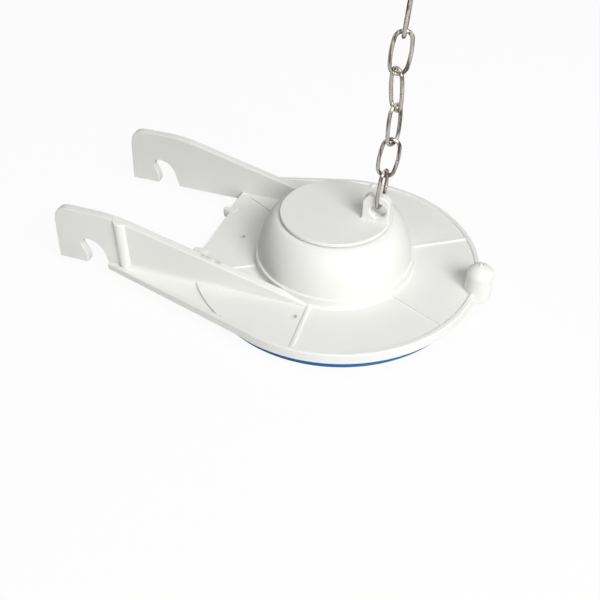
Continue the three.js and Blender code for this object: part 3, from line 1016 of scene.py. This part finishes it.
    def fillet(self, side: int) -> Solid:
        """The concave blend between the web and the ledge.

        Args:
            side: Which arm.

        Returns:
            The solid.
        """
        low = self.plate_bottom + self.ledge
        reach = self.outer + self.blend
        root = self.outer - self.blend_root
        foot = low - self.blend_sink
        hollow = arc((reach, low + self.blend), self.blend, 270, 180, 8)
        outline = [(root, foot), (reach, foot), *hollow, (root, low + self.blend)]
        start = self.slot_x + self.pillar_behind + self.pillar - self.blend_sink
        return prism([(side * y, z) for y, z in outline], Plane.FRONT, start, -self.blend_end)

    def lead_in(self, side: int) -> Solid:
        """Cutter for the ramp on the prong's outer face, beside the slot.

        Args:
            side: Which arm.

        Returns:
            The cutter.
        """
        left = self.slot_x - self.slot_mouth / 2
        cutter = bar((-self.ramp, self.ramp), (-SPARE, SPARE),
                     (self.bottom - SPARE, self.bottom + self.slot_height - self.ramp_top))
        cutter.transform(Matrix.Translation((left + self.ramp_x, side * (self.outer + self.ramp_out), 0))
                         @ Matrix.Rotation(math.radians(-self.ramp_turn * side), 4, "Z"))
        return cutter

    def build(self, side: int) -> Solid:
        """One whole arm, clear of the seal's room.

        Args:
            side: Which arm.

        Returns:
            The solid.
        """
        room = drum(self.seal_room, self.bottom - SPARE, self.plate_bottom)
        return combined([self.web(side), self.column(side), self.shelf(side), self.edge_lip(side),
                         self.fillet(side)], [room, self.lead_in(side)])


@dataclass
class Moulding:
    """The frame: one white moulding of disc, bell, arms, knob and stubs."""

    disc: Disc = field(default_factory=Disc)
    bell: Bell = field(default_factory=Bell)
    arms: Arms = field(default_factory=Arms)
    knob_x: float = 38.05
    knob_radius: float = 3.5
    knob_height: float = 7.0
    knob_dome: float = 0.85
    knob_steps: int = 16
    knob_foot: float = -3.0
    knob_foot_round: float = 0.4
    dimple_radius: float = 0.5
    dimple_up: float = 0.15
    stub_spacing: float = 20.4
    stub_radius: float = 0.9
    stub_reach: float = 2.2
    stub_height: float = 2.6
    stub_root: float = 3.0
    stub_round: float = 0.2
    rib_root: float = 0.8
    stains: tuple[Point, ...] = ((-29.5, 7.4), (-28.2, 7.1), (-25.5, 6.4))
    stain_in: float = 0.5

    def knob(self) -> Solid:
        """The knob on the front of the rim, with a round top and a dimple in it.

        Returns:
            The solid.
        """
        r = self.knob_radius
        shoulder = self.knob_height - r * self.knob_dome
        dome = []
        for i in range(self.knob_steps - 1):
            a = i / self.knob_steps * math.pi / 2
            dome.append((r * math.cos(a), shoulder + (self.knob_height - shoulder) * math.sin(a)))
        pit = arc((0, self.knob_height + self.dimple_up), self.dimple_radius, 0, -90, 5)
        foot = rounded((r, self.knob_foot), self.knob_foot_round, 4, under=True)
        return revolved([(0, self.knob_foot), *foot, *dome, *pit], self.knob_x, 0, 64)

    def stub(self, side: int) -> Solid:
        """One small round-ended stub on the rear edge.

        Args:
            side: 1 for the +Y stub, -1 for the -Y one.

        Returns:
            The solid.
        """
        y = side * self.stub_spacing / 2
        r = self.stub_radius
        end = -self.disc.rear - self.stub_reach + r
        root = end + self.stub_root
        outline = [(x, y + v) for x, v in arc((end, 0), r, 90, 270, 12)] + [(root, y - r), (root, y + r)]
        body = prism(outline, Plane.PLAN, self.disc.bottom, self.disc.bottom + self.stub_height)
        return softened(body, self.stub_round, 2)

    def build(self) -> Thing:
        """Joins the parts of the moulding into one skin.

        Returns:
            The piece.
        """
        disc, bell, arms = self.disc, self.bell, self.arms
        side = arms.inner
        ribs = [disc.rib(i, bell.x, bell.foot - self.rib_root) for i in range(disc.ribs)]
        rim_end = arms.ledge_line()[1].x
        parts = [disc.plate(side, rim_end), disc.rear_plate(side + arms.thickness / 2), disc.hub_ring(),
                 bell.outside(), self.knob(), self.stub(-1), self.stub(1),
                 arms.build(-1), arms.build(1), *ribs]
        body = combined(parts, [bell.inside(), *disc.sunk_marks()])
        stains = tuple(HOME.point(x, -side - self.stain_in, z) for x, z in self.stains)
        finish = StainedWhite("moulded_polypropylene_white_marked", places=stains)
        return placed("frame_moulding", body, finish, "flapper", "frame")


@dataclass
class Cap:
    """The separate cap on the bell, with the upright chain eye."""

    x: float = BELL_X
    radius: float = 14.55
    bottom: float = BELL_HEIGHT + SEAT_GAP
    edge: float = 0.9
    spigot: float = 11.9
    spigot_depth: float = 2.6
    spigot_chamfer: float = 0.4
    chamfer: float = 0.12
    round: float = 0.3
    eye_x: float = 9.85
    eye_width: float = 7.0
    eye_height: float = 7.3
    eye_thickness: float = 2.4
    eye_round: float = 2.4
    eye_sink: float = 0.4
    foot_reach: float = 0.5
    foot_height: float = 1.6
    foot_pull: float = 0.4
    hole_x: float = 10.45
    hole_up: float = 3.2
    hole_radius: float = 1.95
    hole_chamfer: float = 0.4

    @property
    def top(self) -> float:
        """Level of the cap's top face."""
        return self.bottom + self.edge

    def lid(self) -> Solid:
        """The cap's disc and the spigot in the bell's neck."""
        low = self.bottom - self.spigot_depth
        rim = rounded((self.radius, self.top), self.round, 5)
        return revolved([
            (0, low), (self.spigot - self.spigot_chamfer, low), (self.spigot, low + self.spigot_chamfer),
            (self.spigot, self.bottom), (self.radius - self.chamfer, self.bottom),
            (self.radius, self.bottom + self.chamfer), *rim, (0, self.top),
        ], self.x)

    def eye(self) -> Solid:
        """The upright eye, with round top corners and a small flare at its rear foot.

        Returns:
            The solid.
        """
        left = self.eye_x - self.eye_width / 2
        right = self.eye_x + self.eye_width / 2
        high = self.top + self.eye_height
        low = self.top - self.eye_sink
        toe = left - self.foot_reach
        r = self.eye_round
        flare = bend((left, self.top + self.foot_height), (left, self.top + self.foot_pull),
                     (toe, self.top), 5)
        outline = [(toe, low), (right, low), *rounded((right, high), r, 10),
                   *arc((left + r, high - r), r, 90, 180, 10), *flare]
        half = self.eye_thickness / 2
        return softened(prism(outline, Plane.SIDE, -half, half), self.round, 3, where=beside_flat)

    def hole(self) -> Solid:
        """Cutter for the countersunk hole through the eye.

        Returns:
            The cutter.
        """
        half = self.eye_thickness / 2
        r = self.hole_radius
        c = self.hole_chamfer
        wide, end = r + c + HAIR, half + HAIR
        profile = [(0, -end), (wide, -end), (r, -half + c), (r, half - c), (wide, end), (0, end)]
        body = revolved(profile, steps=64)
        body.transform(Matrix.Translation((self.hole_x, 0, self.top + self.hole_up))
                       @ Matrix.Rotation(math.pi / 2, 4, "X"))
        return body

    def build(self) -> Thing:
        """The whole cap."""
        body = combined([self.lid(), self.eye()], [self.hole()])
        return placed("dome_cap_moulding", body, WHITE, "flapper", "dome_cap")


@dataclass
class Seal:
    """The blue ring: cuff, thin web, thick lip with a flat foot."""

    bore: float = 24.3
    cuff: float = 2.4
    cuff_foot: float = -4.75
    cuff_taper: float = 0.4
    top: float = PLATE_UNDER - SEAT_GAP
    foot: float = -6.6
    radius: float = 35.65
    lip: float = 3.35
    lip_taper: float = 0.6
    foot_round: float = 0.35
    top_round: float = 0.5
    web: float = 1.1

    def build(self) -> Thing:
        """Revolves the ring's section.

        Returns:
            The piece.
        """
        under = self.top - self.web
        inner = self.radius - self.lip
        cuff = self.bore + self.cuff
        body = revolved([
            (self.bore, self.cuff_foot), (cuff, self.cuff_foot), (cuff + self.cuff_taper, under),
            (inner - self.lip_taper, under), (inner, self.foot),
            *rounded((self.radius, self.foot), self.foot_round, 4, under=True),
            *rounded((self.radius, self.top), self.top_round, 5), (self.bore, self.top),
        ], steps=160)
        return placed("seal_ring", body, BLUE, "flapper", "seal")


@dataclass(frozen=True)
class Lie:
    """How a wire shape lies: its lean for each millimetre of rise, and its turn about its length."""

    lean_x: float
    lean_y: float
    turn: float

    def basis(self, extra: float = 0.0) -> tuple[Vector, Vector, Vector]:
        """Directions across, along and out of the flat wire shape.

        Args:
            extra: Degrees added to the turn.

        Returns:
            The three unit vectors.
        """
        up = Vector((self.lean_x, self.lean_y, 1)).normalized()
        angle = math.radians(self.turn + extra)
        across = Vector((math.cos(angle), math.sin(angle), 0))
        across = (across - up * across.dot(up)).normalized()
        return across, up, across.cross(up)


@dataclass
class Chain:
    """Six links of round wire and the clip at the free end.

    Each drawn wire is thinner by its ease, so that its round form stays within the solid's box.
    """

    wire: float = 1.0
    ease: float = 0.01
    length: float = 11.2
    width: float = 5.5
    end: float = 2.0
    butt: float = 0.1
    butt_round: float = 0.08
    gap: float = 0.25
    eye_gap: float = 0.7
    clip_wire: float = 1.3
    clip_ease: float = 0.04
    clip_length: float = 16.0
    clip_eye: float = 2.1
    clip_eye_turn: Point = (130.0, 424.0)
    clip_neck: float = 0.6
    clip_shank_x: float = 0.4
    clip_crank: float = 2.0
    clip_crank_share: float = 0.6
    clip_shoulder: float = 1.0
    clip_hook: float = 3.2
    clip_mouth: float = 3.2
    lies: tuple[Lie, ...] = (
        Lie(0.06, 0.06, 80), Lie(0.135, 0.035, 6), Lie(0.015, 0.015, 67),
        Lie(-0.035, -0.005, 318), Lie(0.095, -0.015, 21), Lie(0.08, 0.06, 278),
    )

    def link(self) -> Solid:
        """A link in its own plane: bowed legs, tighter round ends, a butt joint half way up one leg.

        Returns:
            The link, its length along Y.
        """
        bm = bmesh.new()
        half = (self.width - self.wire) / 2
        rise = (self.length - self.wire) / 2 - self.end
        bow = (rise ** 2 + half ** 2 - self.end ** 2) / (2 * (half - self.end))
        lean = math.asin(rise / (bow - self.end))
        opening = self.butt / (2 * bow)
        thick = self.wire / 2 - self.ease
        ring = bmesh.ops.create_circle(bm, cap_ends=False, radius=thick, segments=20)["verts"]
        edges = list(dict.fromkeys(e for v in ring for e in v.link_edges))
        bmesh.ops.rotate(bm, verts=ring, cent=(0, 0, 0), matrix=Matrix.Rotation(math.pi / 2, 3, "X"))
        bmesh.ops.translate(bm, verts=ring, vec=(half, 0, 0))
        bmesh.ops.rotate(bm, verts=ring, cent=(half - bow, 0, 0), matrix=Matrix.Rotation(opening, 3, "Z"))
        first = edges
        leg = (half - bow, 0.0, lean - opening, 8)
        turn = math.pi - 2 * lean
        for x, y, angle, steps in (leg, (0.0, rise, turn, 16), (bow - half, 0.0, 2 * lean, 14),
                                   (0.0, -rise, turn, 16), leg):
            last = bmesh.ops.spin(bm, geom=edges, cent=(x, y, 0), axis=(0, 0, 1), dvec=(0, 0, 0), angle=angle,
                                  steps=steps, use_merge=False, use_normal_flip=False,
                                  use_duplicate=False)["geom_last"]
            edges = [g for g in last if isinstance(g, Edge)]
        for end in (first, edges):
            bmesh.ops.contextual_create(bm, geom=end)
        return softened(closed(bm), self.butt_round, 2, sharper=60)

    def clip_path(self) -> list[Point]:
        """Centreline of the clip: a wound eye, a cranked shank and an open hook.

        Returns:
            Its points, from the eye's end to the hook's.
        """
        r = self.clip_eye
        h = self.clip_hook
        top = self.clip_length - self.clip_wire - h
        neck = 2 * r + self.clip_wire + self.clip_neck
        return [*arc((0, r), r, *self.clip_eye_turn, 12), (self.clip_shank_x, neck),
                (-h * self.clip_crank_share, neck + self.clip_crank), (-h, top - self.clip_shoulder),
                *arc((0, top), h, 180, 0, 6), (h, top - self.clip_mouth)]

    def clip(self) -> Solid:
        """The clip in its own plane, as a smooth round wire with closed ends.

        Returns:
            The clip, its length along Y.
        """
        curve = bpy.data.curves.new("clip_wire", "CURVE")
        curve.dimensions = "3D"
        line = curve.splines.new("BEZIER")
        points = self.clip_path()
        line.bezier_points.add(len(points) - 1)
        for target, (x, y) in zip(line.bezier_points, points):
            target.co = (x, y, 0)
            target.handle_left_type = target.handle_right_type = "AUTO"
        curve.bevel_depth = self.clip_wire / 2 - self.clip_ease
        curve.bevel_resolution = 4
        curve.resolution_u = 6
        curve.use_fill_caps = True
        holder = linked("clip_wire", curve)
        bm = bmesh.new()
        bm.from_mesh(holder.to_mesh())
        bpy.data.objects.remove(holder)
        bpy.data.curves.remove(curve)
        return closed(bm)

    @staticmethod
    def set_in(bm: Solid, basis: tuple[Vector, Vector, Vector], centre: Vector) -> None:
        """Moves a flat wire shape to its place and lie."""
        bm.transform(Matrix.Translation(centre) @ Matrix(basis).transposed().to_4x4())

    def build(self, cap: Cap) -> list[Thing]:
        """Hangs link in link from the cap's eye, and the clip in the last one.

        Args:
            cap: The cap, whose eye holds the first link.

        Returns:
            The pieces.
        """
        reach = self.length - self.wire
        low = Vector((cap.hole_x, 0, cap.top + cap.hole_up + cap.hole_radius - self.wire / 2 - self.eye_gap))
        pieces = []
        for number, lie in enumerate(self.lies, start=1):
            basis = lie.basis()
            body = self.link()
            self.set_in(body, basis, low + basis[1] * reach / 2)
            pieces.append(placed(f"link_wire_{number}", body, STEEL, f"link_{number}",
                                 f"chain_link_{number}", 50))
            low = low + basis[1] * (reach - self.wire - self.gap)
        basis = self.lies[-1].basis(90)
        hook = self.clip()
        self.set_in(hook, basis, low + basis[1] * (self.wire - self.clip_wire) / 2)
        pieces.append(placed("clip_wire", hook, STEEL, "clip", "chain_clip", 50))
        return pieces


@dataclass(frozen=True)
class Lamp:
    """A round soft lamp: its place and size in metres and its power in watts."""

    name: str
    place: Point3
    size: float
    power: float


@dataclass
class Studio:
    """Pale floor, white surround, soft lamps and the camera."""

    eye_mm: Point3 = (50.34, -168.87, 138.37)
    azimuth: float = 19.90
    elevation: float = 41.25
    focal_mm: float = 49.72
    sensor_mm: float = 36.0
    clip_start: float = 0.005
    aim_mm: Point3 = (-10.0, 0.0, 5.0)
    floor_size: float = 6.0
    floor_colour: str = "#F2F2F0"
    floor_glow: float = 0.93
    dim_world: float = 0.02
    lamps: tuple[Lamp, ...] = (
        Lamp("key", (0.45, -0.35, 0.45), 0.35, 3.95),
        Lamp("top", (0.05, 0.00, 0.70), 0.50, 1.20),
        Lamp("back", (-0.35, 0.45, 0.45), 0.40, 0.20),
        Lamp("near", (0.20, -0.45, 0.42), 0.20, 0.60),
        Lamp("low", (0.12, -0.35, 0.10), 0.15, 0.06),
    )

    def camera(self) -> None:
        """Sets the camera at the photograph's angle."""
        data = bpy.data.cameras.new("camera")
        data.lens = self.focal_mm
        data.sensor_width = self.sensor_mm
        data.clip_start = self.clip_start
        az, el = math.radians(self.azimuth), math.radians(self.elevation)
        back = Vector((math.sin(az) * math.cos(el), -math.cos(az) * math.cos(el), math.sin(el)))
        right = Vector((math.cos(az), math.sin(az), 0))
        up = back.cross(right)
        view = linked("camera", data)
        turn = Matrix((right, up, back)).transposed().to_4x4()
        view.matrix_world = Matrix.Translation(HOME.point(*self.eye_mm)) @ turn
        bpy.context.scene.camera = view

    def light(self) -> None:
        """Hangs the soft lamps, each turned to the object."""
        aim = Vector(HOME.point(*self.aim_mm))
        for lamp in self.lamps:
            data = bpy.data.lights.new(lamp.name, "AREA")
            data.shape = "DISK"
            data.size = lamp.size
            data.energy = lamp.power
            hung = linked(lamp.name, data)
            hung.location = lamp.place
            hung.rotation_euler = (aim - Vector(lamp.place)).to_track_quat("-Z", "Y").to_euler()

    def surround(self) -> None:
        """World that is white where it is seen, directly or in metal, and dimmer as a light."""
        world = bpy.data.worlds.new("surround")
        tree = emptied_tree(world)
        path = add_node(tree, "ShaderNodeLightPath")
        seen = add_node(tree, "ShaderNodeMath", {
            0: path.outputs["Is Camera Ray"], 1: path.outputs["Is Glossy Ray"],
        }, operation="MAXIMUM")
        shown = add_node(tree, "ShaderNodeMath", {
            0: seen.outputs[0], 1: path.outputs["Is Transmission Ray"],
        }, operation="MAXIMUM")
        level = add_node(tree, "ShaderNodeMapRange",
                         {"Value": shown.outputs[0], "To Min": self.dim_world, "To Max": 1.0})
        glow = add_node(tree, "ShaderNodeBackground",
                        {"Color": (1, 1, 1, 1), "Strength": level.outputs["Result"]})
        add_node(tree, "ShaderNodeOutputWorld", {"Surface": glow.outputs[0]})
        bpy.context.scene.world = world

    def floor(self) -> None:
        """Lays the pale floor, which shows white but keeps a soft shadow."""
        bm = bmesh.new()
        bmesh.ops.create_grid(bm, x_segments=1, y_segments=1, size=self.floor_size / 2)
        floor = as_object("floor", bm)
        material = bpy.data.materials.new("painted_floor_white")
        tree = emptied_tree(material)
        path = add_node(tree, "ShaderNodeLightPath")
        paint = add_node(tree, "ShaderNodeBsdfDiffuse", {"Color": to_linear(self.floor_colour)})
        glow = add_node(tree, "ShaderNodeEmission", {"Color": (1, 1, 1, 1), "Strength": 1.0})
        share = add_node(tree, "ShaderNodeMath",
                         {0: path.outputs["Is Camera Ray"], 1: self.floor_glow}, operation="MULTIPLY")
        mixed = add_node(tree, "ShaderNodeMixShader",
                         {0: share.outputs[0], 1: paint.outputs[0], 2: glow.outputs[0]})
        add_node(tree, "ShaderNodeOutputMaterial", {"Surface": mixed.outputs[0]})
        floor.data.materials.append(material)

    def build(self) -> None:
        """Sets up the whole studio."""
        self.camera()
        self.surround()
        self.light()
        self.floor()
        bpy.context.scene.view_settings.view_transform = "Standard"


def main() -> None:
    """Builds the studio and every piece, in order."""
    logging.basicConfig(level=logging.INFO, format="%(name)s: %(message)s")
    Studio().build()
    Moulding().build()
    cap = Cap()
    cap.build()
    Seal().build()
    Chain().build(cap)


if __name__ == "__main__":
    main()
